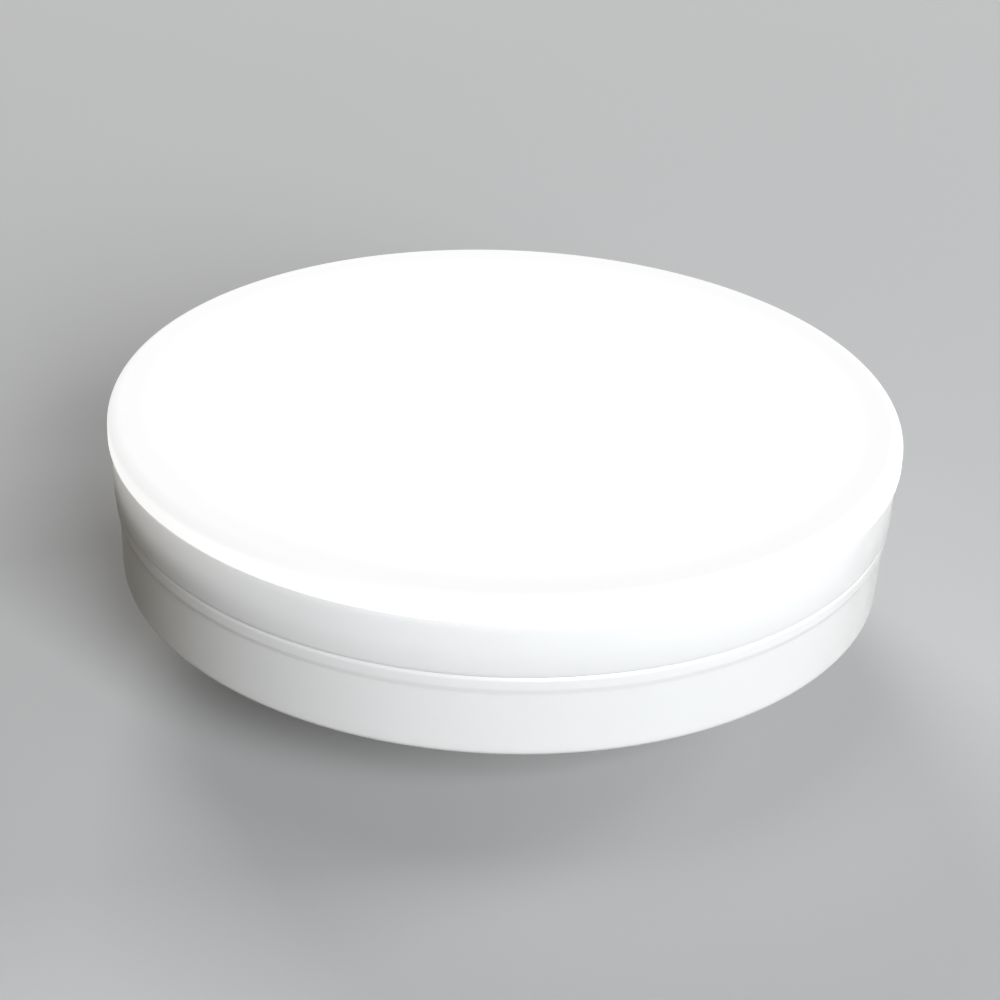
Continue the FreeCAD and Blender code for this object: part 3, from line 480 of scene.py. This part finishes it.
def turned_normals(profile):
    """For each stretch of a turned profile, the normal at its two ends, as out and up.

    Two stretches share the normal where they meet, unless they meet at a sharp edge.
    """
    slopes = []
    for (radius, level), (next_radius, next_level) in zip(profile, profile[1:]):
        slopes.append(Vector((level - next_level, next_radius - radius)))
    ends = [[slope.normalized(), slope.normalized()] for slope in slopes]
    for upper in range(len(slopes) - 1):
        here, below = slopes[upper], slopes[upper + 1]
        if here.angle(below) < SHARP_ANGLE:
            shared = (here * here.length + below * below.length).normalized()
            ends[upper][1] = ends[upper + 1][0] = shared
    for stretch, corners in zip(ends, zip(profile, profile[1:])):
        for end, (_, level) in enumerate(corners):
            if SOFT_FOOT < level < SOFT_TOP:
                stretch[end] = stretch[end].lerp(Vector((1.0, 0.0)), SOFTENING).normalized()
    return ends


def angle_of(vertex):
    return math.atan2(vertex.co.y, vertex.co.x)


def radius_of(vertex):
    return math.hypot(vertex.co.x, vertex.co.y)


def at_level(vertex, level):
    return abs(vertex.co.z - level) < MERGE_GAP


def zip_rings(first, second):
    """Corners of the triangles and squares that join two rings, each in order round the axis."""
    def step(ring, count):
        return angle_of(ring[count % len(ring)]) + 2 * math.pi * (count // len(ring))

    if len(first) == len(second):
        nexts = zip(first[1:] + first[:1], second[1:] + second[:1])
        return [
            (here, after, after_there, there)
            for here, there, (after, after_there) in zip(first, second, nexts)]
    corners = []
    i = j = 0
    while i < len(first) or j < len(second):
        here, there = first[i % len(first)], second[j % len(second)]
        if j == len(second) or (i < len(first) and step(first, i + 1) < step(second, j + 1)):
            i += 1
            corners.append((here, first[i % len(first)], there))
        else:
            j += 1
            corners.append((here, second[j % len(second)], there))
    return corners


def turned_profile(vertices):
    """Radius and level of each full ring among the corners, from the top down."""
    rings = Counter(
        (round(vertex.co.z / MERGE_GAP), round(radius_of(vertex) / MERGE_GAP))
        for vertex in vertices)
    return [
        (radius * MERGE_GAP, level * MERGE_GAP)
        for (level, radius), count in sorted(rings.items(), reverse=True) if count > RING_CORNERS]


def face_towards(face, direction):
    """Turn a face over if it looks away from a direction."""
    face.normal_update()
    if face.normal.dot(direction) < 0:
        face.normal_flip()


def turn_skin_again(name):
    """Stand a copy in for a turned piece, with its outer skin in fine, even steps.

    The skin is turned again from its own rings. All other faces stay, with their normals, which the
    layer "slope" carries from the frame's mesh to the copy's.
    """
    slot, outside, closed = TURNED[name]
    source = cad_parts[name].data
    bm = bmesh.new()
    bm.from_mesh(source)
    slope = bm.loops.layers.float_vector.new("slope")
    for face, polygon in zip(bm.faces, source.polygons):
        for loop, corner in zip(face.loops, polygon.loop_indices):
            loop[slope] = source.corner_normals[corner].vector
    bmesh.ops.remove_doubles(bm, verts=bm.verts, dist=MERGE_GAP)

    skin_corners = [vertex for vertex in bm.verts if outside(radius_of(vertex), vertex.co.z)]
    top = max(vertex.co.z for vertex in skin_corners)
    foot = min(vertex.co.z for vertex in skin_corners)
    kept_ends = (foot,) if closed else (foot, top)
    marked = set(skin_corners)
    skin = [
        face for face in bm.faces
        if all(vertex in marked for vertex in face.verts)
        and not any(all(at_level(vertex, end) for vertex in face.verts) for end in kept_ends)]
    profile = turned_profile(skin_corners)
    bmesh.ops.delete(bm, geom=skin, context="FACES")

    def kept_ring(level):
        """The cut edge of the kept faces at a level, in order round the axis."""
        edge = (vertex for vertex in bm.verts if vertex.is_boundary and at_level(vertex, level))
        return sorted(edge, key=angle_of)

    def new_ring(radius, level):
        angles = (2 * math.pi * k / TURN_STEPS - math.pi for k in range(TURN_STEPS))
        return [bm.verts.new((radius * math.cos(a), radius * math.sin(a), level)) for a in angles]

    foot_ring = kept_ring(foot)
    rings = [new_ring(*profile[0]) if closed else kept_ring(top)]
    rings += [new_ring(*ring) for ring in profile[1:-1]] + [foot_ring]
    for first, second, ends in zip(rings, rings[1:], turned_normals(profile)):
        on_first = set(first)
        for corners in zip_rings(first, second):
            face = bm.faces.new(corners)
            for loop in face.loops:
                out, up = ends[0] if loop.vert in on_first else ends[1]
                along = angle_of(loop.vert)
                loop[slope] = (out * math.cos(along), out * math.sin(along), up)
            face_towards(face, face.loops[0][slope])
    if closed:
        cap = bm.faces.new(rings[0])
        for loop in cap.loops:
            loop[slope] = STRAIGHT_UP
        face_towards(cap, STRAIGHT_UP)

    mesh = bpy.data.meshes.new(f"{name}_turned")
    bm.to_mesh(mesh)
    bm.free()
    mesh.shade_smooth()
    carried = mesh.attributes["slope"]
    mesh.normals_split_custom_set([Vector(corner.vector) for corner in carried.data])
    mesh.attributes.remove(mesh.attributes["slope"])
    piece = add_object(f"{name}_turned", mesh)
    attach(piece, BODY)
    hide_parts(name)
    return piece


def dress_nodes():
    """Give every node of the frame, or the piece that stands for it, its material."""
    made = {}
    for name, node in sorted(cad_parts.items()):
        stem = next(stem for stem in MATERIALS if name.startswith(stem))
        if stem not in made:
            made[stem] = MATERIALS[stem]()
        shown = turn_skin_again(name) if name in TURNED else node
        shown.data.materials.clear()
        shown.data.materials.append(made[stem])
        for polygon in shown.data.polygons:
            polygon.material_index = 0


# Stage, lamps and camera


def lay_floor():
    angles = [2 * math.pi * k / FLOOR_CORNERS for k in range(FLOOR_CORNERS)]
    ring = [(FLOOR_RADIUS * math.cos(a), FLOOR_RADIUS * math.sin(a), 0.0) for a in angles]
    mesh = bpy.data.meshes.new("studio_floor")
    mesh.from_pydata(ring, [], [range(FLOOR_CORNERS)])
    mesh.materials.append(studio_floor())
    floor = add_object("studio_floor", mesh)


def light_world():
    """A weak even sky; the camera and mirrors see it as the pale backdrop."""
    world = bpy.data.worlds.new("studio_sky")
    world.use_nodes = True
    bpy.context.scene.world = world
    nodes, links = world.node_tree.nodes, world.node_tree.links
    sky = nodes["Background"]
    sky.inputs["Color"].default_value = SKY_COLOUR
    sky.inputs["Strength"].default_value = SKY_STRENGTH
    seen = nodes.new("ShaderNodeBackground")
    seen.inputs["Color"].default_value = SKY_SEEN
    rays = nodes.new("ShaderNodeLightPath")
    either = nodes.new("ShaderNodeMath")
    either.operation = "MAXIMUM"
    links.new(rays.outputs["Is Camera Ray"], either.inputs[0])
    links.new(rays.outputs["Is Glossy Ray"], either.inputs[1])
    mix = nodes.new("ShaderNodeMixShader")
    links.new(either.outputs[0], mix.inputs["Fac"])
    links.new(sky.outputs[0], mix.inputs[1])
    links.new(seen.outputs[0], mix.inputs[2])
    links.new(mix.outputs[0], nodes["World Output"].inputs["Surface"])


def hang_lamp(name, azimuth, elevation, power, colour, mirrored):
    """A square soft studio lamp that faces the object."""
    turn, tilt = math.radians(azimuth), math.radians(elevation)
    away = Vector((
        math.cos(turn) * math.cos(tilt), math.sin(turn) * math.cos(tilt), math.sin(tilt)))
    light = bpy.data.lights.new(name, "AREA")
    light.size = LAMP_SIZE
    light.energy = power
    light.color = colour
    lamp = add_object(name, light)
    lamp.location = away * LAMP_DISTANCE
    lamp.rotation_mode = "QUATERNION"
    lamp.rotation_quaternion = away.to_track_quat("Z", "Y")
    lamp.visible_glossy = mirrored


def place_camera():
    """Stand the camera so that the rim's centre, tilt and roll are the photograph's."""
    # The camera's frame is right, down and ahead; across, depth and up are the world's axes in it
    right, down, ahead = Vector((1, 0, 0)), Vector((0, 1, 0)), Vector((0, 0, 1))
    up = Vector((
        math.sin(PHOTO_ROLL) * math.cos(PHOTO_ELEVATION),
        -math.cos(PHOTO_ROLL) * math.cos(PHOTO_ELEVATION),
        -math.sin(PHOTO_ELEVATION)))
    depth = (ahead - up * ahead.dot(up)).normalized()
    across = depth.cross(up)
    to_world = Matrix((across, depth, up))
    data = bpy.data.cameras.new("photo_camera")
    data.lens = PHOTO_LENS
    data.sensor_width = PHOTO_SENSOR
    data.clip_start = NEAREST_SEEN
    camera = add_object("photo_camera", data)
    camera.location = Vector((0, 0, RIM_LEVEL)) - to_world @ PHOTO_RIM_CENTRE
    turned = Matrix((to_world @ right, -(to_world @ down), -(to_world @ ahead))).transposed()
    camera.rotation_mode = "QUATERNION"
    camera.rotation_quaternion = turned.to_quaternion()
    bpy.context.scene.camera = camera


bpy.context.scene.view_settings.view_transform = "Standard"
dress_nodes()
lay_floor()
light_world()
for lamp in LAMPS:
    hang_lamp(*lamp)
place_camera()
